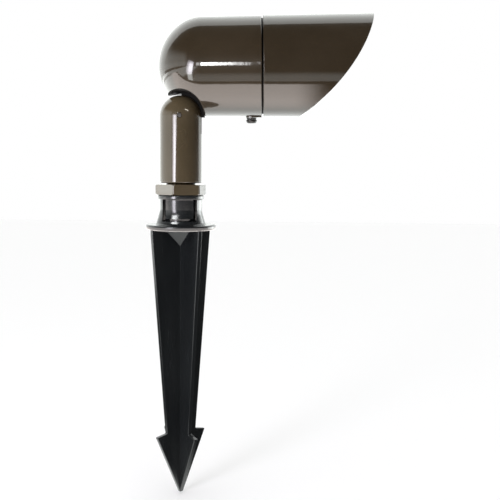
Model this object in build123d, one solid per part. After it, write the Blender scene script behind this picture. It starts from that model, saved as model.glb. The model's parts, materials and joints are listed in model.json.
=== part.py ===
from build123d import *
import os
from math import atan2, cos, degrees, radians, sin, sqrt

# Landscape spotlight on a ground stake, in millimetres.
# Origin: stake axis at the underside of the round flange, which is ground level.
# +Z is up, +X is the way the lamp points, and Y is the tilt axis.

# ---- driving dimensions: ground stake ----
FIN_ANGLE = 38.0          # the fins stand turned about the stake axis, degrees from X
FIN_THICK = 3.0
FIN_EDGE_R = 0.45         # rounding of the fins' long edges
FIN_TOP_R = 23.9
FIN_LOW_R = 12.5
BARB_R = 20.0
BARB_Z = -146.0
NOTCH_R = 12.0
NOTCH_Z = -144.4
TIP_Z = -189.0
FLANGE_R = 24.5
FLANGE_H = 3.5
FOOT_R = 17.4             # the tube flares out to this at the flange
FOOT_Z = 12.0             # top of the flare
TUBE_R = 14.8
COLLAR_R = 16.0
COLLAR_LOW_Z = 20.9
COLLAR_Z = 24.1
TONGUE_HALF_W = 9.4       # tongue on the tube's front, framed by a U-shaped relief
RELIEF_W = 2.4            # width of the relief beside the tongue
RELIEF_Z = (6.0, 7.9)     # the relief below the tongue
RELIEF_FLOOR_R = 11.7
RELIEF_BACK_Y = -5.5
GUSSET_R = 15.0
GUSSET_DEEP = 14.0
SOCKET_FLOOR_Z = 4.0
OUTLET_W = 9.0            # cable outlet through the tube's rear side
OUTLET_Z = (4.6, 13.0)
OUTLET_CORNER_R = 2.5

# ---- driving dimensions: swivel stem and its nut ----
THREAD_R = 10.6           # half-inch pipe thread, outside
THREAD_PITCH = 1.81
THREAD_DEEP = 0.8
THREAD_FIT = 0.06         # running clearance on the radius
STEM_R = 14.6
STEM_Z = 32.2
PIVOT_Z = 77.9
SPIGOT_END_Z = 13.6
STEM_BORE_R = 6.5
SLOT_W = 8.6
SLOT_DEEP = 12.0          # below the pivot
NUT_FLATS = 31.5
NUT_TOP_Z = 31.2
NUT_TURN = 19.2           # the front flat is turned this much, degrees
NUT_BEVEL_R, NUT_BEVEL_H = 1.2, 1.0

# ---- driving dimensions: tilt pivot ----
LUG_THICK = 7.4
LUG_R = 8.0
LUG_REACH_R = 17.4        # the lug's arc ends inside the saddle wall
LUG_FROM, LUG_TO = -3.0, 87.0
WIRE_HOLE_R = 2.8
WIRE_HOLE_BACK = 10.5     # degrees behind the vertical
WIRE_R = 1.9
GROMMET_R = 3.5
PIVOT_R = 2.5
PIVOT_TIP_R = 1.7
PIVOT_HEAD_R = 4.25
PIVOT_HEAD_H = 5.0
COUNTERBORE_DEEP = 5.7    # in the far cheek, for the pivot screw's head
NEAR_CHEEK_STEP = 2.6     # the near cheek's hole is stepped this far inside
PIVOT_KEY_R, PIVOT_KEY_DEEP = 2.3, 2.6
PIVOT_WASHER_R = 6.5
FIT = 0.05                # running clearance on the radius or the face

# ---- driving dimensions: head, about its own axis ----
HEAD_TILT = 1.0           # nose-up at rest, degrees
AXIS_RISE = 33.3          # head axis above the pivot
SEAM_X = 55.6             # all head X positions are measured from the pivot
SEAM_R = 34.1
DOME_X = 16.3
DOME_LONG = 31.0
DOME_R = 33.6
DOME_SHOULDER_R = 28.0    # side radius of the dome; the rear one follows from it
TIP_X = 131.2
TIP_R = 34.95
CUT_LOW_X = 81.3
CUT_BULGE = 8.2
WALL = 3.0
COWL_WALL = 2.6
SADDLE_R = 16.5           # hollow under the dome, about the pivot
SADDLE_EDGE_R = 1.1
BORE_R = 31.0
BORE_START_X = 37.0
SPIGOT_X = 40.0
SPIGOT_WALL = 2.7
O_RING_X = 43.0
O_RING_R, O_RING_WIRE_R = 30.0, 0.94
SEAM_GAP = 0.06
SEAM_GROOVE_W, SEAM_GROOVE_D = 1.0, 2.0
MOUTH_EDGE_R = 0.5        # inner edge of the slanted mouth

# ---- driving dimensions: lock screw (M4) ----
SCREW_X = 48.6
SCREW_R = 2.0
SCREW_HEAD_R = 3.75
SCREW_HEAD_H = 2.6
SCREW_DOME_R = 1.8
SCREW_NECK = 0.7          # bevel under the head, next to the washer
WASHER_R = 3.45
WASHER_H = 1.0
PAD_PROUD = 0.7
PAD_HALF = 4.0

# ---- driving dimensions: lens stack ----
LEDGE_X = (56.4, 59.0)
LEDGE_R = 26.8
GASKET_H = 1.0
LENS_R = 30.6
LENS_H = 3.2
RING_H = 2.2

# ---- driving dimensions: lamp (50 mm reflector lamp) and holder ----
LAMP_FRONT_X = 52.0
LAMP_R = 25.3
LAMP_NECK_X = 16.5
LAMP_NECK_R = 8.9
GLASS_WALL = 1.5
COVER_GLASS_X = (50.4, 51.8)
PIN_GAP = 5.3
PIN_R = 0.75
CAPSULE_X = (14.0, 34.0)
CAPSULE_R, CAPSULE_BORE_R = 4.3, 3.3
FILAMENT_X = 30.0
HOLDER_X = (-3.0, 9.6)
HOLDER_HALF_W = 10.0
HOLDER_HALF_H = 7.0
BRACKET_T = 1.2
BOSS_Y = 15.5
BOSS_R = 3.6
BOSS_SCREW_R = 1.5
LEAD_R = 1.0
LEAD_Y, LEAD_DROP = 18.5, 11.0
CAP_R = 3.1
CAP_X = (7.5, 20.5)


def turned(points, radii, axis=Axis.Z, plane=Plane.XZ):
    """Solid of revolution from a closed outline with one corner radius per point."""
    outline = FilletPolyline(*points, radius=radii, close=True)
    return revolve(plane * make_face(outline), axis)


def rod(radius, start, end, axis):
    """Cylinder of one radius between two places along X, Y or Z."""
    turn = {"X": Rot(0, 90, 0), "Y": Rot(-90, 0, 0), "Z": Rot(0, 0, 0)}[axis]
    step = {"X": Pos(start, 0, 0), "Y": Pos(0, start, 0), "Z": Pos(0, 0, start)}[axis]
    return step * turn * Cylinder(radius, end - start, align=(Align.CENTER, Align.CENTER, Align.MIN))


def tube(outer, inner, start, end, axis):
    return rod(outer, start, end, axis) - rod(inner, start - 1, end + 1, axis)


def block(low, high):
    """Box between two opposite corners."""
    size = [b - a for a, b in zip(low, high)]
    middle = [(a + b) / 2 for a, b in zip(low, high)]
    return Pos(*middle) * Box(*size)


def thread_rings(radius, low, high, depth):
    """V grooves a thread pitch apart, to be cut from a shaft of this radius along Z."""
    rings = []
    z = low
    while z < high:
        half = THREAD_PITCH * 0.42
        out = radius + 0.3
        v = Polyline((out, z - half), (out, z + half), (radius - depth, z), close=True)
        rings.append(revolve(Plane.XZ * make_face(v), Axis.Z))
        z += THREAD_PITCH
    return rings


# ================= ground stake =================
def stake_fin(angle):
    """One flat fin with its barb, from the stake axis outwards."""
    points = [
        (0, 1.0), (FIN_TOP_R, 1.0), (FIN_TOP_R, -3.0), (FIN_LOW_R, -138.0),
        (NOTCH_R, NOTCH_Z), (BARB_R, BARB_Z), (1.2, TIP_Z), (0, TIP_Z),
    ]
    face = make_face(FilletPolyline(*points, radius=[0, 0, 0, 30, 0.9, 0.5, 0.8, 0], close=True))
    fin = extrude(Plane.XZ * face, FIN_THICK / 2, both=True)
    rim = [e for e in fin.edges() if abs(abs(e.center().Y) - FIN_THICK / 2) < 0.01
           and e.center().X > 0.7 and e.center().Z < 0]
    return Rot(0, 0, angle) * fillet(rim, FIN_EDGE_R)


def tongue_relief():
    """U-shaped relief in the front of the tube: two sides and the part below the tongue."""
    outer = TONGUE_HALF_W + RELIEF_W
    relief = block((-outer, -TUBE_R - 5, RELIEF_Z[0]), (outer, RELIEF_BACK_Y, COLLAR_LOW_Z))
    tongue = block((-TONGUE_HALF_W, -TUBE_R - 6, RELIEF_Z[1]), (TONGUE_HALF_W, 0, COLLAR_LOW_Z + 1))
    return relief - tongue - rod(RELIEF_FLOOR_R, 0, COLLAR_Z, "Z")


def make_stake():
    head = turned(
        [
            (0, 0), (FLANGE_R, 0), (FLANGE_R, FLANGE_H), (FOOT_R, FLANGE_H), (TUBE_R, FOOT_Z),
            (TUBE_R, COLLAR_LOW_Z), (COLLAR_R, COLLAR_LOW_Z + 0.3), (COLLAR_R, COLLAR_Z), (0, COLLAR_Z),
        ],
        [0, 1.3, 1.3, 1.6, 12, 0.5, 0.5, 1.2, 0],
    )
    gusset_top = Rot(0, 0, FIN_ANGLE) * RegularPolygon(GUSSET_R, 4)
    gusset_low = Pos(0, 0, -GUSSET_DEEP) * Rot(0, 0, FIN_ANGLE) * RegularPolygon(0.6, 4)
    gusset = loft([gusset_top, gusset_low])
    stake = head + gusset
    for k in range(4):
        stake += stake_fin(FIN_ANGLE + 90 * k)
    stake -= rod(THREAD_R + THREAD_FIT, SOCKET_FLOOR_Z, COLLAR_Z + 1, "Z")
    outlet = block((-OUTLET_W / 2, 0, OUTLET_Z[0]), (OUTLET_W / 2, TUBE_R + 5, OUTLET_Z[1]))
    outlet = fillet(outlet.edges().filter_by(Axis.Y), OUTLET_CORNER_R)
    return stake - outlet - tongue_relief()


# ================= swivel stem, locknut, pivot =================
def make_stem():
    stem = turned(
        [(0, STEM_Z), (STEM_R, STEM_Z), (STEM_R, PIVOT_Z), (0, PIVOT_Z)], [0, 0.9, 0, 0]
    )
    stem += Pos(0, 0, PIVOT_Z) * Sphere(STEM_R)
    spigot = turned(
        [(0, SPIGOT_END_Z), (THREAD_R, SPIGOT_END_Z), (THREAD_R, STEM_Z + 1), (0, STEM_Z + 1)], [0, 0.8, 0, 0]
    )
    for ring in thread_rings(THREAD_R, SPIGOT_END_Z + 1.7, STEM_Z - 0.6, THREAD_DEEP):
        spigot -= ring
    stem += spigot
    slot_floor = PIVOT_Z - SLOT_DEEP
    stem -= rod(STEM_BORE_R, 0, slot_floor + 1, "Z")
    stem -= block((-20, -SLOT_W / 2, slot_floor), (20, SLOT_W / 2, PIVOT_Z + 20))
    at_pivot = Pos(0, 0, PIVOT_Z)
    stem -= at_pivot * rod(PIVOT_R + FIT, -STEM_R + NEAR_CHEEK_STEP, STEM_R, "Y")
    stem -= at_pivot * rod(PIVOT_TIP_R + FIT, -STEM_R - 1, 0, "Y")
    stem -= at_pivot * rod(PIVOT_HEAD_R + FIT, STEM_R - COUNTERBORE_DEEP, STEM_R + 1, "Y")
    return stem


def make_locknut():
    corner_r = NUT_FLATS / sqrt(3)
    high = NUT_TOP_Z - COLLAR_Z
    nut = extrude(RegularPolygon(corner_r, 6), high)
    bevelled = turned(
        [(0, 0), (corner_r - NUT_BEVEL_R, 0), (corner_r, NUT_BEVEL_H),
         (corner_r, high - NUT_BEVEL_H), (corner_r - NUT_BEVEL_R, high), (0, high)],
        [0, 0, 0, 0, 0, 0],
    )
    nut = fillet(nut.edges().filter_by(Axis.Z), 1.6) & bevelled
    # A flat faces -Y, then the nut is turned.
    nut = Pos(0, 0, COLLAR_Z) * Rot(0, 0, NUT_TURN) * nut
    return nut - rod(THREAD_R + THREAD_FIT, 0, 40, "Z")


def make_pivot_screw():
    """Socket-head screw along Y, head on the far cheek, reduced end flush with the near one."""
    under_head = STEM_R - COUNTERBORE_DEEP
    shank = rod(PIVOT_R, -STEM_R + NEAR_CHEEK_STEP + 0.1, under_head + 0.5, "Y")
    end = rod(PIVOT_TIP_R, -STEM_R + 0.25, 0, "Y")
    end = chamfer(end.faces().sort_by(Axis.Y)[0].edges(), 0.35)
    head = rod(PIVOT_HEAD_R, under_head + 0.02, under_head + PIVOT_HEAD_H, "Y")
    head = fillet(head.faces().sort_by(Axis.Y)[-1].edges(), 0.5)
    key = Plane.XZ.offset(-(under_head + PIVOT_HEAD_H + 1)) * RegularPolygon(PIVOT_KEY_R, 6)
    screw = shank + end + head - extrude(key, PIVOT_KEY_DEEP + 1)
    return Pos(0, 0, PIVOT_Z) * screw


def make_pivot_washers():
    thick = (SLOT_W - LUG_THICK) / 2 - 0.04
    both = []
    for side in (-1, 1):
        start = side * (LUG_THICK / 2 + 0.02)
        low, high = sorted((start, start + side * thick))
        both.append(Pos(0, 0, PIVOT_Z) * tube(PIVOT_WASHER_R, PIVOT_R + FIT, low, high, "Y"))
    return Compound(children=[w.solid() for w in both])


# ================= head: everything below is about the head axis =================
# In head space X runs forward from the pivot, Z = 0 is the head axis.
def in_place(shape):
    """From head space to the rest pose."""
    return Pos(0, 0, PIVOT_Z) * Rot(0, -HEAD_TILT, 0) * Pos(0, 0, AXIS_RISE) * shape


def about_pivot(radius, half_width=60):
    return Pos(0, 0, -AXIS_RISE) * rod(radius, -half_width, half_width, "Y")


def bell(inset, end_x, end_r):
    """Domed rear of two tangent arcs, then a slight cone to the seam."""
    shoulder = (DOME_X, DOME_R - DOME_SHOULDER_R)
    spread = DOME_LONG**2 + (DOME_R - DOME_SHOULDER_R) ** 2 - DOME_SHOULDER_R**2
    rear_r = spread / (2 * (DOME_LONG - DOME_SHOULDER_R))
    rear = (DOME_X - DOME_LONG + rear_r, 0)
    turn = degrees(atan2(shoulder[1], rear[0] - shoulder[0]))
    upper = CenterArc(shoulder, DOME_SHOULDER_R - inset, 90, 90 - turn)
    lower = CenterArc(rear, rear_r - inset, 180 - turn, turn)
    wall = Polyline(lower @ 1, (end_x, 0), (end_x, end_r), upper @ 0)
    return revolve(Plane.XZ * make_face([upper, lower, wall]), Axis.X)


def polar_point(angle):
    """Point of the lug's outer arc, from the pivot."""
    return (LUG_REACH_R * cos(radians(angle)), LUG_REACH_R * sin(radians(angle)))


def at_wire_hole(shape):
    """From a hole along Z above the pivot to the wire hole's direction."""
    return Pos(0, 0, -AXIS_RISE) * Rot(0, -WIRE_HOLE_BACK, 0) * shape


def make_housing():
    shell = bell(0, SEAM_X, SEAM_R)
    shell = fillet(shell.faces().sort_by(Axis.X)[-1].edges(), 0.5)
    shell -= about_pivot(SADDLE_R)
    shell = fillet(shell.edges().filter_by(GeomType.BSPLINE), SADDLE_EDGE_R)
    pad = block(
        (SCREW_X - PAD_HALF, -PAD_HALF, -SEAM_R - PAD_PROUD), (SEAM_X - 0.2, PAD_HALF, -BORE_R - 1)
    )
    pad = fillet(pad.edges().filter_by(Axis.Z).group_by(Axis.X)[0], PAD_HALF - 0.1)
    shell += pad
    cavity = bell(WALL, BORE_START_X, BORE_R - 0.6) - about_pivot(SADDLE_R + WALL)
    cavity += rod(BORE_R, BORE_START_X, SEAM_X + 1, "X")
    shell -= cavity
    # Lug that hangs from the saddle into the stem's slot.
    lug_face = Plane.XZ * make_face([
        Line((0, 0), polar_point(LUG_FROM)),
        CenterArc((0, 0), LUG_REACH_R, LUG_FROM, LUG_TO - LUG_FROM),
        Line(polar_point(LUG_TO), (0, 0)),
    ])
    lug = extrude(lug_face, LUG_THICK / 2, both=True) + rod(LUG_R, -LUG_THICK / 2, LUG_THICK / 2, "Y")
    shell += Pos(0, 0, -AXIS_RISE) * lug
    shell -= Pos(0, 0, -AXIS_RISE) * rod(PIVOT_R + FIT, -20, 20, "Y")
    # Wire hole through the saddle, behind the lug.
    shell -= at_wire_hole(rod(WIRE_HOLE_R, SADDLE_R - 4, SADDLE_R + WALL + 4, "Z"))
    for side in (-1, 1):
        boss = Pos(0, side * BOSS_Y, 0) * rod(BOSS_R, -12, HOLDER_X[0] - BRACKET_T, "X")
        boss &= bell(1, BORE_START_X, BORE_R)
        shell += boss
        shell -= Pos(0, side * BOSS_Y, 0) * rod(BOSS_SCREW_R + FIT, -9.0, 0, "X")
    shell -= Pos(SCREW_X, 0, 0) * rod(SCREW_R + FIT, -40, 0, "Z")
    return shell


def make_grommet():
    """Rubber ring in the wire hole, with a flange on each side of the saddle wall."""
    gap = 0.05
    inside = SADDLE_R + WALL + 0.5
    body = tube(WIRE_HOLE_R - gap, WIRE_R, SADDLE_R - 1.2, inside + 1.3, "Z")
    body += tube(GROMMET_R, WIRE_R, inside, inside + 1.3, "Z")
    body += tube(GROMMET_R, WIRE_R, SADDLE_R - 1.3, SADDLE_R - 0.6, "Z")
    return at_wire_hole(body)


def make_cowl():
    inner_front = TIP_R - COWL_WALL
    start = SEAM_X + SEAM_GAP
    shoulder = start + SEAM_GROOVE_W
    outer = turned(
        [(start, 0), (start, SEAM_R - SEAM_GROOVE_D), (shoulder, SEAM_R - SEAM_GROOVE_D),
         (shoulder, SEAM_R + 0.12), (TIP_X + 3, TIP_R + 0.05), (TIP_X + 3, 0)],
        [0, 0, 0, 0.35, 0, 0], Axis.X,
    )
    spigot_r = BORE_R - FIT
    outer += turned(
        [(SPIGOT_X, 0), (SPIGOT_X, spigot_r), (start + 1, spigot_r), (start + 1, 0)], [0, 0.8, 0, 0], Axis.X
    )
    hollow = rod(BORE_R - SPIGOT_WALL, SPIGOT_X - 1, LEDGE_X[0], "X")
    hollow += rod(LEDGE_R, LEDGE_X[0] - 1, LEDGE_X[1] + 1, "X")
    front = Polyline(
        (LEDGE_X[1], 0), (LEDGE_X[1], LENS_R + 0.4), (TIP_X + 5, inner_front), (TIP_X + 5, 0), close=True
    )
    hollow += revolve(Plane.XZ * make_face(front), Axis.X)
    cowl = outer - hollow
    groove_r = O_RING_R - O_RING_WIRE_R - 0.02
    cowl -= tube(BORE_R + 2, groove_r, O_RING_X - 1.0, O_RING_X + 1.0, "X")
    # Slanted mouth: an arc seen from the side, cut straight across.
    top, low = Vector(TIP_X, TIP_R), Vector(CUT_LOW_X, -SEAM_R - 0.4)
    along = (low - top).normalized()
    bulge = (top + low) * 0.5 + Vector(-along.Y, along.X) * CUT_BULGE
    past_low, past_top = low + along * 6, top - along * 6
    outside = Polyline(low, past_low, past_low + Vector(120, 0), past_top + Vector(60, 0), past_top, top)
    mouth = make_face([ThreePointArc(top, bulge, low), outside])
    cowl -= extrude(Plane.XZ * mouth, 60, both=True)
    lip = [f for f in cowl.faces().filter_by(GeomType.CYLINDER) if abs(f.axis_of_rotation.direction.Y) > 0.9]
    inner_edge = lip[0].edges().filter_by(GeomType.BSPLINE).sort_by(SortBy.LENGTH)[0]
    return fillet(inner_edge, MOUTH_EDGE_R)


def make_o_ring():
    return revolve(Plane.XZ * (Pos(O_RING_X, O_RING_R) * Circle(O_RING_WIRE_R)), Axis.X)


def make_lens():
    start = LEDGE_X[1] + GASKET_H
    lens = rod(LENS_R, start, start + LENS_H, "X")
    return chamfer(lens.edges(), 0.4)


def make_gasket():
    return tube(LENS_R, LEDGE_R + 0.2, LEDGE_X[1], LEDGE_X[1] + GASKET_H, "X")


def make_lens_ring():
    """Split spring ring in front of the lens."""
    start = LEDGE_X[1] + GASKET_H + LENS_H
    ring = tube(LENS_R + 0.3, LENS_R - 2.6, start, start + RING_H, "X")
    ring = fillet(ring.faces().sort_by(Axis.X)[-1].edges(), 0.5)
    return ring - block((start - 1, -2.0, -40), (start + 5, 2.0, 0))


def screw_drop():
    """Level of the pad's face, below the head axis."""
    return -SEAM_R - PAD_PROUD


def make_lock_washer():
    top = screw_drop() - 0.02
    washer = tube(WASHER_R, SCREW_R + 0.06, top - WASHER_H, top, "Z")
    washer = fillet(washer.faces().sort_by(Axis.Z)[0].edges().sort_by(SortBy.LENGTH)[-1], 0.35)
    return Pos(SCREW_X, 0, 0) * washer


def cross_recess(deep):
    """Cross-shaped driver recess, opening downwards at Z = 0."""
    arm = block((-2.1, -0.45, 0), (2.1, 0.45, deep))
    return arm + Rot(0, 0, 90) * arm


def make_lock_screw():
    top = screw_drop() - 0.02 - WASHER_H - 0.02
    head = rod(SCREW_HEAD_R, top - SCREW_HEAD_H, top, "Z")
    head = fillet(head.faces().sort_by(Axis.Z)[0].edges(), SCREW_DOME_R)
    head = chamfer(head.faces().sort_by(Axis.Z)[-1].edges(), SCREW_NECK)
    shank = rod(SCREW_R, top - 0.5, -BORE_R - 0.03, "Z")
    screw = head + shank - Pos(0, 0, top - SCREW_HEAD_H) * Rot(0, 0, 25) * cross_recess(1.6)
    return Pos(SCREW_X, 0, 0) * screw


# ================= lamp and holder, about the head axis =================
def reflector_radius(x):
    """Outside radius of the lamp's reflector, a paraboloid from neck to rim."""
    growth = (LAMP_R**2 - LAMP_NECK_R**2) / (LAMP_FRONT_X - 2 - LAMP_NECK_X)
    return sqrt(LAMP_NECK_R**2 + growth * (x - LAMP_NECK_X))


def reflector_curve(inset, start, end, steps=5):
    xs = [start + (end - start) * k / steps for k in range(steps + 1)]
    return Spline(*[(x, reflector_radius(x) - inset) for x in xs])


def make_reflector():
    end = LAMP_FRONT_X - 2
    outer = reflector_curve(0, LAMP_NECK_X, end)
    inner = reflector_curve(GLASS_WALL, LAMP_NECK_X, end)
    rim = Polyline(outer @ 1, (LAMP_FRONT_X, LAMP_R), (LAMP_FRONT_X, LAMP_R - GLASS_WALL),
                   (end, LAMP_R - GLASS_WALL))
    neck = Line(outer @ 0, inner @ 0)
    return revolve(Plane.XZ * make_face([outer, rim, inner, neck]), Axis.X)


def make_cover_glass():
    return rod(LAMP_R - GLASS_WALL - FIT, *COVER_GLASS_X, "X")


def make_lamp_base():
    base = block((HOLDER_X[1] + 0.4, -7.6, -5.5), (LAMP_NECK_X, 7.6, 5.5))
    base = fillet(base.edges().filter_by(Axis.X), 1.5)
    return base + rod(7.0, LAMP_NECK_X - 0.5, LAMP_NECK_X + 1.5, "X") - rod(CAPSULE_R + 0.1, CAPSULE_X[0], 30, "X") - pins()


def pins():
    both = [Pos(0, s * PIN_GAP / 2, 0) * rod(PIN_R, 3.0, CAPSULE_X[0], "X") for s in (-1, 1)]
    return Compound(children=[p.solid() for p in both])


def make_capsule():
    start, end = CAPSULE_X
    outer = rod(CAPSULE_R, start, end, "X") + Pos(end, 0, 0) * Sphere(CAPSULE_R)
    inner = rod(CAPSULE_BORE_R, start + 5, end - 0.5, "X")
    inner += Pos(end - 0.5, 0, 0) * Sphere(CAPSULE_BORE_R)
    return outer - inner


def make_filament():
    coil = Pos(FILAMENT_X, 0, 0) * rod(0.8, -2.4, 2.4, "Y")
    for side in (-1, 1):
        coil += Pos(0, side * 2.0, 0) * rod(0.3, CAPSULE_X[0] + 5, FILAMENT_X, "X")
    return coil


def make_holder():
    half_w, half_h = HOLDER_HALF_W, HOLDER_HALF_H
    body = block((HOLDER_X[0], -half_w, -half_h), (HOLDER_X[1], half_w, half_h))
    body = fillet(body.edges().filter_by(Axis.X), 2.0)
    for side in (-1, 1):
        body -= Pos(0, side * PIN_GAP / 2, 0) * rod(1.7, 0.0, 12, "X")
        body -= Pos(2.0, 0, -2.0) * rod(LEAD_R, *sorted((side * 7.0, side * 11.0)), "Y")
    return body


def make_contacts():
    both = [Pos(0, s * PIN_GAP / 2, 0) * tube(1.65, PIN_R + 0.03, 0.0, 8.0, "X") for s in (-1, 1)]
    return Compound(children=[c.solid() for c in both])


def make_bracket():
    back = HOLDER_X[0]
    plate = block((back - BRACKET_T, -BOSS_Y - 4, -5), (back, BOSS_Y + 4, 5))
    plate = fillet(plate.edges().filter_by(Axis.X), 2.0)
    for side in (-1, 1):
        low, high = sorted((side * HOLDER_HALF_W, side * (HOLDER_HALF_W + 1.0)))
        plate += block((back - 0.5, low, 0.5), (back + 7.0, high, 4.5))
        plate -= Pos(0, side * BOSS_Y, 0) * rod(1.6, back - 5, back + 5, "X")
    return plate


def make_bracket_screws():
    both = []
    for side in (-1, 1):
        head = rod(2.6, HOLDER_X[0] + 0.01, HOLDER_X[0] + 1.9, "X")
        head = fillet(head.edges().sort_by(Axis.X)[-1], 0.8)
        screw = head + rod(BOSS_SCREW_R, -8.5, HOLDER_X[0] + 0.5, "X")
        screw -= Pos(HOLDER_X[0] + 1.9, 0, 0) * Rot(0, -90, 0) * cross_recess(0.9)
        both.append(Pos(0, side * BOSS_Y, 0) * screw)
    return Compound(children=[s.solid() for s in both])


def lead_route(side):
    """From the holder's side out, down and forward into the splice cap."""
    return [
        (2.0, side * 7.2, -2.0), (2.0, side * LEAD_Y, -2.0),
        (2.0, side * LEAD_Y, -LEAD_DROP), (CAP_X[0] + 4.5, side * LEAD_Y, -LEAD_DROP),
    ]


def make_leads():
    both = []
    for side in (-1, 1):
        path = FilletPolyline(*lead_route(side), radius=4.0)
        end = Plane(origin=path @ 0, z_dir=path % 0)
        both.append(sweep(end * Circle(LEAD_R), path=path))
    return Compound(children=[s.solid() for s in both])


def make_caps():
    """Closed-end splice caps where the holder's leads meet the supply cable."""
    both = []
    for side in (-1, 1):
        cap = rod(CAP_R, *CAP_X, "X")
        cap = fillet(cap.faces().sort_by(Axis.X)[-1].edges(), 1.6)
        cap -= rod(LEAD_R, 0, CAP_X[0] + 4.5, "X")
        both.append(Pos(0, side * LEAD_Y, -LEAD_DROP) * cap)
    return Compound(children=[c.solid() for c in both])


# ================= build and write =================
parts = {
    "ground_stake": make_stake(),
    "swivel_stem": make_stem(),
    "stem_locknut": make_locknut(),
    "pivot_screw": make_pivot_screw(),
    "pivot_washers": make_pivot_washers(),
}

head_makers = {
    "rear_housing": make_housing,
    "wire_grommet": make_grommet,
    "glare_cowl": make_cowl,
    "cowl_o_ring": make_o_ring,
    "lens": make_lens,
    "lens_gasket": make_gasket,
    "lens_retaining_ring": make_lens_ring,
    "lock_screw_washer": make_lock_washer,
    "cowl_lock_screw": make_lock_screw,
    "lamp_reflector": make_reflector,
    "lamp_cover_glass": make_cover_glass,
    "lamp_base": make_lamp_base,
    "lamp_pins": pins,
    "lamp_capsule": make_capsule,
    "lamp_filament": make_filament,
    "lamp_holder": make_holder,
    "holder_contacts": make_contacts,
    "holder_bracket": make_bracket,
    "bracket_screws": make_bracket_screws,
    "lamp_leads": make_leads,
    "splice_caps": make_caps,
}
for name, maker in head_makers.items():
    parts[name] = in_place(maker())

os.makedirs("parts", exist_ok=True)
for name, shape in parts.items():
    export_step(shape, f"parts/{name}.step")
    print(name, round(shape.volume, 1))
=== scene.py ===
import json
import math

import bpy
from mathutils import Matrix, Vector


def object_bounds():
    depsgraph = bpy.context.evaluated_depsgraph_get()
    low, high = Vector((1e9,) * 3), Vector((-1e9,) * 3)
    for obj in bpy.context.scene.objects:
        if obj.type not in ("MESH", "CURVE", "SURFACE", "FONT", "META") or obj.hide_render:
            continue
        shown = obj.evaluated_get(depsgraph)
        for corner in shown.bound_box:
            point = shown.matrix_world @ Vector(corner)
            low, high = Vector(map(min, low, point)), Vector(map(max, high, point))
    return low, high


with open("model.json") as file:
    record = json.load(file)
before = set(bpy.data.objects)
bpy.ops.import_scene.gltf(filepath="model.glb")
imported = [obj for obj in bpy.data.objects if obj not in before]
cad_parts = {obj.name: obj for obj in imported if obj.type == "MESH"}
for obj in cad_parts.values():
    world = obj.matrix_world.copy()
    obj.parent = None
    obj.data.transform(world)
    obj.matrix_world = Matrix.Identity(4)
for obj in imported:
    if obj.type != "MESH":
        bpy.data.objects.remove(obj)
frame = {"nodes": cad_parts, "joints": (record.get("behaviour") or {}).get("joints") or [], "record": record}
nodes = frame["nodes"]
cad_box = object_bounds()
joints = {j["name"]: j for j in frame["joints"]}
PIVOT = tuple(joints["head_tilt"]["pos_m"])
HEAD_AXIS = tuple(joints["cowl_slide"]["axis"])
SEAM_X = 0.0556           # from the pivot along the head axis


# ---------------------------------------------------------------- shader helpers
class NodeTree:
    """Makes and links the nodes of one tree; a source may be a socket or a plain value."""

    def __init__(self, tree):
        self.tree = tree

    def node(self, kind, links=(), **settings):
        made = self.tree.nodes.new(kind)
        for key, value in settings.items():
            setattr(made, key, value)
        for socket, source in links:
            if hasattr(source, "is_linked"):
                self.tree.links.new(source, made.inputs[socket])
            else:
                made.inputs[socket].default_value = source
        return made

    def math(self, operation, a, b):
        return self.node("ShaderNodeMath", [(0, a), (1, b)], operation=operation).outputs[0]


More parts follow.
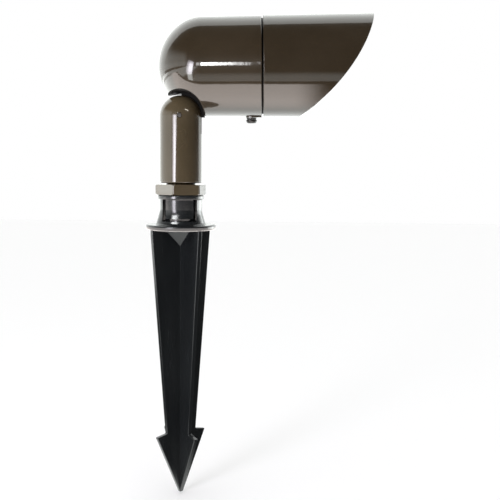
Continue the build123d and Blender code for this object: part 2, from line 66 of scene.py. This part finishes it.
class Shader(NodeTree):
    """Small wrapper that builds one node material around a Principled shader."""

    def __init__(self, name, base, rough, metallic=0.0, **sockets):
        self.mat = bpy.data.materials.new(name)
        self.mat.use_nodes = True
        super().__init__(self.mat.node_tree)
        self.bsdf = self.tree.nodes["Principled BSDF"]
        self.bsdf.inputs["Base Color"].default_value = (*base, 1.0)
        self.bsdf.inputs["Roughness"].default_value = rough
        self.bsdf.inputs["Metallic"].default_value = metallic
        for key, value in sockets.items():
            self.bsdf.inputs[key.replace("_", " ")].default_value = value
        self.coords = self.tree.nodes.new("ShaderNodeTexCoord").outputs["Object"]

    def noise(self, scale, detail=3.0, rough=0.5, distortion=0.0, coords=None):
        """Noise with features about 1/scale metres across."""
        return self.node(
            "ShaderNodeTexNoise",
            [("Vector", coords or self.coords), ("Scale", scale), ("Detail", detail),
             ("Roughness", rough), ("Distortion", distortion)],
        ).outputs["Fac"]

    def stretched(self, scale):
        """Object coordinates scaled along each axis."""
        return self.node(
            "ShaderNodeMapping", [("Vector", self.coords), ("Scale", scale)]
        ).outputs["Vector"]

    def ramp(self, fac, low, high, out_low=0.0, out_high=1.0):
        """fac from low..high becomes out_low..out_high, held at both ends."""
        return self.node(
            "ShaderNodeMapRange",
            [("Value", fac), ("From Min", low), ("From Max", high),
             ("To Min", out_low), ("To Max", out_high)],
            clamp=True,
        ).outputs["Result"]

    def mix(self, fac, a, b):
        """Colour a to colour b."""
        made = self.node("ShaderNodeMix", data_type="RGBA")
        for index, value in ((0, fac), (6, a), (7, b)):
            if hasattr(value, "is_linked"):
                self.tree.links.new(value, made.inputs[index])
            else:
                made.inputs[index].default_value = value if index == 0 else (*value, 1.0)
        return made.outputs[2]

    def along(self, origin, axis):
        """Distance along an axis from a point, in metres."""
        gap = self.node("ShaderNodeVectorMath", [(0, self.coords), (1, origin)], operation="SUBTRACT")
        return self.node(
            "ShaderNodeVectorMath", [(0, gap.outputs["Vector"]), (1, axis)], operation="DOT_PRODUCT"
        ).outputs["Value"]

    def from_y_axis(self, origin):
        """Distance from a line along Y through a point, in metres."""
        gap = self.node("ShaderNodeVectorMath", [(0, self.coords), (1, origin)], operation="SUBTRACT")
        flat = self.node(
            "ShaderNodeVectorMath", [(0, gap.outputs["Vector"]), (1, (1, 0, 1))], operation="MULTIPLY"
        )
        return self.node(
            "ShaderNodeVectorMath", [(0, flat.outputs["Vector"])], operation="LENGTH"
        ).outputs["Value"]

    def edges(self, radius):
        """1 on sharp outer edges, 0 on flat faces: where paint or a moulding skin wears."""
        bevel = self.node("ShaderNodeBevel", [("Radius", radius)], samples=4).outputs["Normal"]
        plain = self.node("ShaderNodeNewGeometry").outputs["Normal"]
        dot = self.node("ShaderNodeVectorMath", [(0, bevel), (1, plain)], operation="DOT_PRODUCT")
        return self.ramp(dot.outputs["Value"], 0.995, 0.80)

    def bump(self, *layers):
        """Each layer is (height, distance in metres); they add up."""
        normal = None
        for height, distance in layers:
            links = [("Height", height), ("Distance", distance), ("Strength", 1.0)]
            if normal is not None:
                links.append(("Normal", normal))
            normal = self.node("ShaderNodeBump", links).outputs["Normal"]
        self.set("Normal", normal)

    def set(self, socket, source):
        self.tree.links.new(source, self.bsdf.inputs[socket])


# ---------------------------------------------------------------- materials
BRONZE = (0.0235, 0.0158, 0.0079)
BRONZE_LIGHT = (0.0305, 0.0208, 0.0110)
FLAKE = (0.060, 0.044, 0.027)
RECESS_SHADE = (0.0035, 0.0028, 0.0022)      # painted shade: near-black dull colour for recesses where shade falls


def bronze_paint(name="bronze_paint", coat=1.0, rough=0.32, recess_shade=None):
    """Glossy powder coat on die-cast aluminium: slight orange peel and fine pigment flecks.

    The optional mask function, called with the shader, gives 1 in recesses, which then take painted shade: a
    near-black dull colour without clear coat.
    """
    s = Shader(name, BRONZE, rough, Coat_Weight=coat, Coat_Roughness=0.05, Coat_IOR=1.5,
               Specular_IOR_Level=0.12)
    cloud = s.noise(22, 4)
    grain = s.noise(2600, 2)
    colour = s.mix(s.ramp(cloud, 0.35, 0.68), BRONZE, BRONZE_LIGHT)
    colour = s.mix(s.ramp(grain, 0.60, 0.72, 0.0, 0.30), colour, FLAKE)
    roughness = s.ramp(cloud, 0.3, 0.7, rough - 0.05, rough + 0.07)
    if recess_shade:
        # Painted shade in the recesses: near-black colour, rougher, and no clear coat.
        shade_mask = recess_shade(s)
        colour = s.mix(shade_mask, colour, RECESS_SHADE)
        roughness = s.math("MAXIMUM", roughness, s.math("MULTIPLY", shade_mask, 0.65))
        s.set("Coat Weight", s.math("MULTIPLY", s.math("SUBTRACT", 1.0, shade_mask), coat))
    s.set("Base Color", colour)
    s.set("Roughness", roughness)
    s.bump((s.noise(70, 1, 0.4), 0.00007), (s.noise(420, 2, 0.45), 0.000012))
    s.tree.links.new(s.bsdf.inputs["Normal"].links[0].from_socket, s.bsdf.inputs["Coat Normal"])
    return s.mat


def housing_recess_shade(s):
    """Painted shade mask: 1 on the saddle around the stem and on the end face at the seam."""
    saddle = s.ramp(s.from_y_axis(PIVOT), 0.0170, 0.0166)
    return s.math("MAXIMUM", saddle, s.ramp(s.along(PIVOT, HEAD_AXIS), SEAM_X - 0.0002, SEAM_X))


def cowl_recess_shade(s):
    """Painted shade mask: 1 in the groove at the seam and on the push-in spigot."""
    return s.ramp(s.along(PIVOT, HEAD_AXIS), SEAM_X + 0.0011, SEAM_X + 0.0009)


def black_plastic():
    """Moulded black nylon: glossy skin with faint flow lines, fine scuffs and paler edges."""
    s = Shader("stake_plastic", (0.007, 0.0078, 0.0085), 0.16, Specular_IOR_Level=0.5)
    flow = s.noise(1.0, 4, 0.55, 0.4, s.stretched((120, 120, 14)))
    scuff = s.noise(1.0, 5, 0.65, 0.0, s.stretched((900, 900, 60)))
    scuffs = s.ramp(scuff, 0.60, 0.72)
    colour = s.mix(s.ramp(flow, 0.3, 0.7), (0.0055, 0.0062, 0.0068), (0.0085, 0.0095, 0.0102))
    colour = s.mix(s.math("MULTIPLY", scuffs, 0.25), colour, (0.022, 0.023, 0.024))
    colour = s.mix(s.math("MULTIPLY", s.edges(0.0006), 0.2), colour, (0.045, 0.047, 0.05))
    s.set("Base Color", colour)
    rough = s.math("ADD", s.ramp(flow, 0.3, 0.7, 0.16, 0.24), s.math("MULTIPLY", scuffs, 0.12))
    s.set("Roughness", rough)
    s.bump((flow, 0.00006), (s.noise(1400, 2), 0.000006))
    return s.mat


def metal(name, base, rough, spread=0.1, grain=1800, worn=None, metallic=1.0):
    """Machined or plated metal with fine tool marks and uneven roughness."""
    s = Shader(name, base, rough, metallic=metallic)
    cloud = s.noise(260, 4)
    shade = tuple(c * 0.72 for c in base)
    colour = s.mix(s.ramp(cloud, 0.35, 0.65), shade, base)
    if worn:
        colour = s.mix(s.edges(0.0003), colour, worn)
    s.set("Base Color", colour)
    s.set("Roughness", s.ramp(cloud, 0.3, 0.7, rough, rough + spread))
    s.bump((s.noise(grain, 2), 0.00002))
    return s.mat


def matte(name, base, rough, speck=0.25, grain=900):
    """Ceramic, nylon, rubber or sleeve: soft colour variation and a fine grain."""
    s = Shader(name, base, rough)
    cloud = s.noise(180, 4)
    colour = s.mix(s.ramp(cloud, 0.3, 0.7), tuple(c * (1 - speck) for c in base), base)
    s.set("Base Color", colour)
    s.set("Roughness", s.ramp(s.noise(grain, 3), 0.3, 0.7, rough - 0.08, rough + 0.08))
    s.bump((s.noise(grain, 3), 0.00003))
    return s.mat


def clear_glass(name="clear_glass", tint=(0.93, 0.97, 0.96)):
    """Tempered glass with a trace of dust on it."""
    s = Shader(name, tint, 0.02, Transmission_Weight=1.0, IOR=1.5)
    dust = s.ramp(s.noise(420, 5, 0.6), 0.52, 0.74)
    s.set("Roughness", s.math("MULTIPLY", dust, 0.10))
    s.bump((s.noise(30, 1), 0.00002))
    return s.mat


def mirror_glass():
    """Metallised inside of the reflector lamp: small pillow facets and a dichroic tint."""
    s = Shader("lamp_glass", (0.80, 0.81, 0.84), 0.12, metallic=0.85)
    s.set("Base Color", s.mix(s.ramp(s.noise(160, 3), 0.3, 0.7), (0.84, 0.82, 0.78), (0.70, 0.74, 0.84)))
    s.set("Roughness", s.ramp(s.noise(300, 3), 0.3, 0.7, 0.06, 0.18))
    cells = s.node("ShaderNodeTexVoronoi", [("Vector", s.coords), ("Scale", 260), ("Randomness", 0.3)])
    s.bump((s.ramp(cells.outputs["Distance"], 0.0, 0.8, 1.0, 0.0), 0.0003))
    return s.mat


def paint_nodes():
    """Gives each carried-over CAD node its material."""
    bronze = bronze_paint()
    nut = bronze_paint("nut_paint", coat=0.9, rough=0.36)
    dark = metal("dark_screw", (0.020, 0.019, 0.018), 0.30, worn=(0.12, 0.11, 0.10), metallic=0.5)
    steel = metal("screw_steel", (0.30, 0.28, 0.26), 0.3)
    zinc = metal("zinc_steel", (0.60, 0.61, 0.62), 0.3)
    rubber = matte("seal_rubber", (0.018, 0.018, 0.018), 0.5)
    ceramic = matte("ceramic", (0.80, 0.78, 0.72), 0.42, 0.12)
    finishes = {
        "bronze_paint": bronze, "nut_paint": nut, "stake_plastic": black_plastic(),
        "dark_screw": dark, "screw_steel": steel, "zinc_steel": zinc, "seal_rubber": rubber,
        "ceramic": ceramic, "clear_glass": clear_glass(), "lamp_glass": mirror_glass(),
        "quartz": clear_glass("quartz", (0.97, 0.97, 0.97)),
        "washer_nylon": matte("washer_nylon", (0.62, 0.61, 0.57), 0.4),
        "pin_metal": metal("pin_metal", (0.60, 0.58, 0.54), 0.25),
        "tungsten": metal("tungsten", (0.35, 0.34, 0.33), 0.4),
        "contact_brass": metal("contact_brass", (0.70, 0.52, 0.24), 0.28),
        "lead_sleeve": matte("lead_sleeve", (0.66, 0.65, 0.61), 0.7),
        "cap_plastic": matte("cap_plastic", (0.05, 0.05, 0.055), 0.45),
        "spring_steel": metal("spring_steel", (0.30, 0.30, 0.31), 0.32),
    }
    # The housing and the cowl take painted shade in their recesses.
    special = {
        "rear_housing": bronze_paint("bronze_housing", recess_shade=housing_recess_shade),
        "glare_cowl": bronze_paint("bronze_cowl", recess_shade=cowl_recess_shade),
    }
    for row in frame["record"]["subparts"]:
        obj = nodes[row["node"]]
        obj.data.materials.clear()
        obj.data.materials.append(special.get(row["node"]) or finishes[row["material_slot"]])


# ---------------------------------------------------------------- stage, light and camera
# What the paint and the plastic mirror. The camera and soft light see a plain white studio; gloss sees
# a lit card under the head and a lit sweep behind, with the room in front left dim.
CARD_SHINE = 4.9
CARD_BACK_SHINE = 1.85
CARD_PINK = (1.0, 0.925, 0.885)
CARD_X, CARD_Y = (-0.60, 0.55), (-0.15, 0.60)
CARD_Z = -0.0002
CARD_FRONT_Y = (-0.130, -0.118)
CARD_LEFT_BOOST, CARD_RIGHT_BOOST = 1.0, 2.6     # extra light in the back part, beside the head
CARD_FADE_Y = (-0.035, 0.045)        # where the pink front turns into the white back
CARD_RIGHT_X = (0.080, 0.112)        # the front part ends here
FLOOR_SHINE = 1.2
FAR_SHINE = 1.8
BACK_SHINE = 1.8
BACK_LIFT = 0.307         # how much the ceiling counts as back
BACK_FROM = (0.43, 0.48)
LEFT_SHINE, LEFT_TOP_SHINE = 1.75, 1.3
FLOOR_LEFT_SHINE = 2.4
UNDER_SHINE = 1.9         # floor beside the point, seen in the gussets
GLINT_SHINE = 7.0
FLOOR_DIM_SHINE = 0.05    # the floor outside its bright zones
FRONT_SHINE = 0.07
COOL = (0.97, 1.0, 0.98)


class Stage(NodeTree):
    """Node tree of the floor, the card, the world or a lamp."""

    def step(self, value, low, high):
        """0 below low, 1 above high, smooth between; low may be the larger."""
        return self.node(
            "ShaderNodeMapRange", [("Value", value), ("From Min", low), ("From Max", high)],
            interpolation_type="SMOOTHSTEP",
        ).outputs["Result"]

    def times(self, first, *others):
        """Product of several values."""
        for other in others:
            first = self.math("MULTIPLY", first, other)
        return first

    def split(self, vector):
        return self.node("ShaderNodeSeparateXYZ", [(0, vector)]).outputs

    def seen_by_gloss(self, plain, shine, out):
        path = self.node("ShaderNodeLightPath").outputs
        mirrored = self.math("SUBTRACT", path["Is Glossy Ray"], path["Is Transmission Ray"])
        mix = self.node("ShaderNodeMixShader", [(0, mirrored), (1, plain), (2, shine)])
        self.tree.links.new(mix.outputs[0], out.inputs["Surface"])


def make_floor():
    """A plain pale floor just under the stake's point. Seen in gloss it glows in zones: painted reflections
    of a lit room and of the left window.
    """
    low = cad_box[0][2] - 0.001
    bpy.ops.mesh.primitive_plane_add(size=6, location=(0, 0, low))
    floor = bpy.context.object
    floor.name = "floor"
    mat = bpy.data.materials.new("floor")
    mat.use_nodes = True
    stage = Stage(mat.node_tree)
    base = mat.node_tree.nodes["Principled BSDF"]
    base.inputs["Base Color"].default_value = (0.975, 0.975, 0.975, 1)
    base.inputs["Roughness"].default_value = 0.9
    x, y, _ = stage.split(stage.node("ShaderNodeNewGeometry").outputs["Position"])
    # In front of the object.
    near = stage.times(
        stage.step(stage.math("ABSOLUTE", x, 0.0), 0.30, 0.16),
        stage.step(y, -0.95, -0.5), stage.step(y, -0.22, -0.32), FLOOR_SHINE,
    )
    far = stage.times(stage.step(y, 0.75, 0.9), FAR_SHINE)
    # The left window's own reflection: a wedge between two directions from the stake.
    slope = stage.math("DIVIDE", x, stage.math("MINIMUM", y, -0.01))
    glint = stage.times(
        stage.step(slope, 0.48, 0.62), stage.step(slope, 0.98, 0.84),
        stage.step(y, -0.8, -0.7), stage.step(y, -0.15, -0.3), GLINT_SHINE,
    )
    # Beside the stake's point: the gussets mirror this.
    under = stage.times(
        stage.step(x, -0.15, -0.10), stage.step(x, 0.05, 0.00),
        stage.step(y, -0.14, -0.10), stage.step(y, 0.06, 0.02), UNDER_SHINE,
    )
    left = stage.times(stage.step(x, -0.5, -0.7), FLOOR_LEFT_SHINE)
    total = FLOOR_DIM_SHINE
    for zone in (near, far, glint, under, left):
        total = stage.math("ADD", total, zone)
    shine = stage.node("ShaderNodeEmission", [("Color", (*COOL, 1)), ("Strength", total)])
    stage.seen_by_gloss(base.outputs[0], shine.outputs[0], mat.node_tree.nodes["Material Output"])
    floor.data.materials.append(mat)


def make_card():
    """White card at ground level under the head, seen only in the gloss above it."""
    x0, x1 = CARD_X
    y0, y1 = CARD_Y
    mesh = bpy.data.meshes.new("card")
    corners = [(x0, y0, CARD_Z), (x1, y0, CARD_Z), (x1, y1, CARD_Z), (x0, y1, CARD_Z)]
    mesh.from_pydata(corners, [], [(0, 1, 2, 3)])
    card = bpy.data.objects.new("card", mesh)
    bpy.context.scene.collection.objects.link(card)
    for ray in ("camera", "diffuse", "transmission", "volume_scatter", "shadow"):
        setattr(card, f"visible_{ray}", False)
    mat = bpy.data.materials.new("card")
    mat.use_nodes = True
    tree = mat.node_tree
    tree.nodes.clear()
    stage = Stage(tree)
    geometry = stage.node("ShaderNodeNewGeometry").outputs
    x, y, _ = stage.split(geometry["Position"])
    fade = stage.step(y, *CARD_FADE_Y)
    front = stage.math("MULTIPLY", stage.step(y, *CARD_FRONT_Y), stage.step(x, *CARD_RIGHT_X[::-1]))
    front = stage.math("MULTIPLY", front, stage.math("SUBTRACT", 1.0, fade))
    sides = stage.math("MULTIPLY", stage.step(x, x0, x0 + 0.15), stage.step(x, x1, x1 - 0.1))
    sides = stage.math("MULTIPLY", sides, stage.step(y, y1, y1 - 0.1))
    boost = stage.math("MULTIPLY", stage.step(x, -0.02, -0.12), CARD_LEFT_BOOST)
    boost = stage.math("ADD", boost, stage.math("MULTIPLY", stage.step(x, 0.12, 0.20), CARD_RIGHT_BOOST))
    back = stage.math("MULTIPLY", stage.math("MULTIPLY", fade, sides), stage.math("ADD", boost, 1.0))
    pink = stage.node("ShaderNodeEmission", [("Color", (*CARD_PINK, 1)),
                                             ("Strength", stage.math("MULTIPLY", front, CARD_SHINE))])
    white = stage.node("ShaderNodeEmission", [("Color", (*COOL, 1)),
                                              ("Strength", stage.math("MULTIPLY", back, CARD_BACK_SHINE))])
    both = stage.node("ShaderNodeAddShader", [(0, pink.outputs[0]), (1, white.outputs[0])])
    clear = stage.node("ShaderNodeBsdfTransparent")
    mix = stage.node(
        "ShaderNodeMixShader",
        [(0, geometry["Backfacing"]), (1, both.outputs[0]), (2, clear.outputs[0])],
    )
    tree.links.new(mix.outputs[0], stage.node("ShaderNodeOutputMaterial").inputs["Surface"])
    mesh.materials.append(mat)


def make_world():
    """White studio: bright behind and above, dim in front, so gloss shows its edges."""
    world = bpy.data.worlds.new("studio")
    bpy.context.scene.world = world
    world.use_nodes = True
    world.node_tree.nodes.clear()
    stage = Stage(world.node_tree)
    x, y, z = stage.split(stage.node("ShaderNodeTexCoord").outputs["Generated"])
    lifted = stage.math("ADD", y, stage.math("MULTIPLY", z, BACK_LIFT))
    back = stage.math("MULTIPLY", stage.step(lifted, *BACK_FROM), BACK_SHINE)
    left = stage.math("MULTIPLY", stage.step(x, -0.62, -0.80), stage.step(z, -0.040, -0.030))
    left = stage.math("MULTIPLY", left, stage.step(z, 0.5, 0.2))
    low = stage.math("MULTIPLY", stage.step(z, 0.14, 0.05), LEFT_SHINE - LEFT_TOP_SHINE)
    left = stage.math("MULTIPLY", left, stage.math("ADD", low, LEFT_TOP_SHINE))
    total = stage.math("ADD", stage.math("MAXIMUM", back, left), FRONT_SHINE)
    plain = stage.node("ShaderNodeBackground", [("Color", (1, 1, 1, 1)), ("Strength", 1.0)])
    shine = stage.node("ShaderNodeBackground", [("Color", (*COOL, 1)), ("Strength", total)])
    out = stage.node("ShaderNodeOutputWorld")
    stage.seen_by_gloss(plain.outputs[0], shine.outputs[0], out)


def direction(azimuth, elevation):
    """Unit vector; azimuth 0 points at the camera's side (-Y), positive towards +X."""
    a, e = math.radians(azimuth), math.radians(elevation)
    return Vector((math.sin(a) * math.cos(e), -math.cos(a) * math.cos(e), math.sin(e)))


def softbox(name, target, azimuth, elevation, distance, width, height, power, colour):
    data = bpy.data.lights.new(name, "AREA")
    data.shape = "RECTANGLE"
    data.size, data.size_y = width, height
    data.energy = power
    data.color = colour
    lamp = bpy.data.objects.new(name, data)
    bpy.context.scene.collection.objects.link(lamp)
    place = Vector(target) + direction(azimuth, elevation) * distance
    lamp.location = place
    lamp.rotation_euler = (Vector(target) - place).to_track_quat("-Z", "Y").to_euler()
    return lamp


def only_on(lamp, *names, unshadowed=True):
    """Keeps a light on the pieces that show it, and by default unshadowed by the others."""
    group = bpy.data.collections.new(f"{lamp.name}_on")
    for name in names:
        group.objects.link(nodes[name])
    lamp.light_linking.receiver_collection = group
    if unshadowed:
        lamp.light_linking.blocker_collection = group


def fade_lamp(lamp, across, up):
    """Brightness over the lamp's face, as (place, value) stops from one edge to the other."""
    lamp.data.use_nodes = True
    stage = Stage(lamp.data.node_tree)
    face = stage.split(stage.node("ShaderNodeNewGeometry").outputs["Parametric"])
    strength = 1.0
    for place, stops in zip(face, (across, up)):
        ramp = stage.node("ShaderNodeValToRGB", [("Fac", place)])
        ramp.color_ramp.elements.remove(ramp.color_ramp.elements[1])
        for k, (at, value) in enumerate(stops):
            stop = ramp.color_ramp.elements.new(at) if k else ramp.color_ramp.elements[0]
            stop.position, stop.color = at, (value, value, value, 1)
        strength = stage.math("MULTIPLY", ramp.outputs["Color"], strength)
    emission = next(n for n in stage.tree.nodes if n.type == "EMISSION")
    stage.tree.links.new(strength, emission.inputs["Strength"])


WHITE_LAMP = (1, 1, 1)
# name: aim, azimuth, elevation, distance, width, height, watts, colour
LAMPS = {
    "window_left": ((0, 0, 0.06), -34.5, -5.0, 0.8, 0.25, 0.46, 8.4, (0.95, 0.92, 1.0)),
    "strip": ((0, 0, 0.112), -1.85, -0.2, 1.2, 0.098, 0.15, 2.6, WHITE_LAMP),
    "key": ((0, 0, 0.06), -35, 16, 1.0, 0.4, 0.4, 32, (0.76, 0.88, 1.0)),
    "nut_side": ((0, 0, 0.027), -86, -2, 0.8, 0.30, 0.30, 1.35, (0.98, 1.0, 0.97)),
    "side_right": ((0, 0, -0.05), 122, 2, 1.0, 0.62, 0.5, 6, (0.96, 1.0, 0.99)),
    "foot": ((0, 0, 0), -27, 28, 1.0, 0.45, 0.12, 5.0, (0.97, 0.99, 1.0)),
    "nut_right": ((0, 0, 0.027), 71, -2, 0.8, 0.25, 0.25, 1.2, (0.98, 1.0, 0.98)),
    "strip_start": ((0, 0, 0.112), -11, -0.2, 1.2, 0.20, 0.13, 0.6, WHITE_LAMP),
    "dot": ((0, 0, 0.08), -15, 17, 1.0, 0.045, 0.045, 0.16, WHITE_LAMP),
    "dash": ((0.005, 0, 0.08), 37.5, 31, 1.0, 0.07, 0.30, 1.3, (1.0, 0.92, 0.80)),
}
# Lamps that light only these nodes. Other nodes cast shadows in the key's light only.
LIT_ALONE = {
    "strip": ("rear_housing",), "strip_start": ("rear_housing",),
    "key": ("swivel_stem", "stem_locknut"),
    "nut_side": ("stem_locknut",), "nut_right": ("stem_locknut",),
    "side_right": ("ground_stake",), "foot": ("ground_stake",),
    "dot": ("swivel_stem",), "dash": ("swivel_stem",),
}
LAMP_ROLL = {"window_left": -18, "dash": 60}      # degrees about the lamp's own axis
# Brightness over the lamp's face, (place, value): across, then up.
LAMP_FADE = {
    "window_left": ([(0, 0.1), (0.3, 0.55), (0.55, 1), (0.9, 1), (1, 0.5)],
                    [(0, 0), (0.3, 0.8), (0.75, 1), (1, 0.2)]),
    "strip": ([(0, 0.3), (0.15, 1), (0.35, 0.9), (0.57, 0.48), (0.8, 0.25), (0.97, 0.07), (1, 0)],
              [(0, 0.5), (0.25, 1), (0.75, 1), (1, 0.5)]),
}


def make_lights():
    for name, settings in LAMPS.items():
        lamp = softbox(name, *settings)
        if name in LAMP_ROLL:
            lamp.rotation_euler.rotate_axis("Z", math.radians(LAMP_ROLL[name]))
        if name in LAMP_FADE:
            fade_lamp(lamp, *LAMP_FADE[name])
        if name in LIT_ALONE:
            only_on(lamp, *LIT_ALONE[name], unshadowed=name != "key")
        if name == "key":
            lamp.visible_glossy = False


CAMERA_AT = (0.04892, -0.57806, 0.0432)
CAMERA_DOWN, CAMERA_YAW, CAMERA_ROLL = 5.67, -0.05, 0.54
FOCAL_PX = 830


def make_camera():
    data = bpy.data.cameras.new("camera")
    data.sensor_width = 36
    data.lens = FOCAL_PX / 500 * data.sensor_width
    camera = bpy.data.objects.new("camera", data)
    bpy.context.scene.collection.objects.link(camera)
    camera.location = CAMERA_AT
    turn = Matrix.Rotation(math.radians(-CAMERA_YAW), 4, "Z")
    turn @= Matrix.Rotation(math.radians(90 - CAMERA_DOWN), 4, "X")
    turn @= Matrix.Rotation(math.radians(CAMERA_ROLL), 4, "Z")
    camera.rotation_euler = turn.to_euler()
    bpy.context.scene.camera = camera


make_camera()
paint_nodes()
make_floor()
make_card()
make_world()
make_lights()
# The screw would mirror as a dark blot in the housing above it.
for name in ("cowl_lock_screw", "lock_screw_washer"):
    nodes[name].visible_glossy = False
bpy.context.scene.view_settings.view_transform = "Standard"
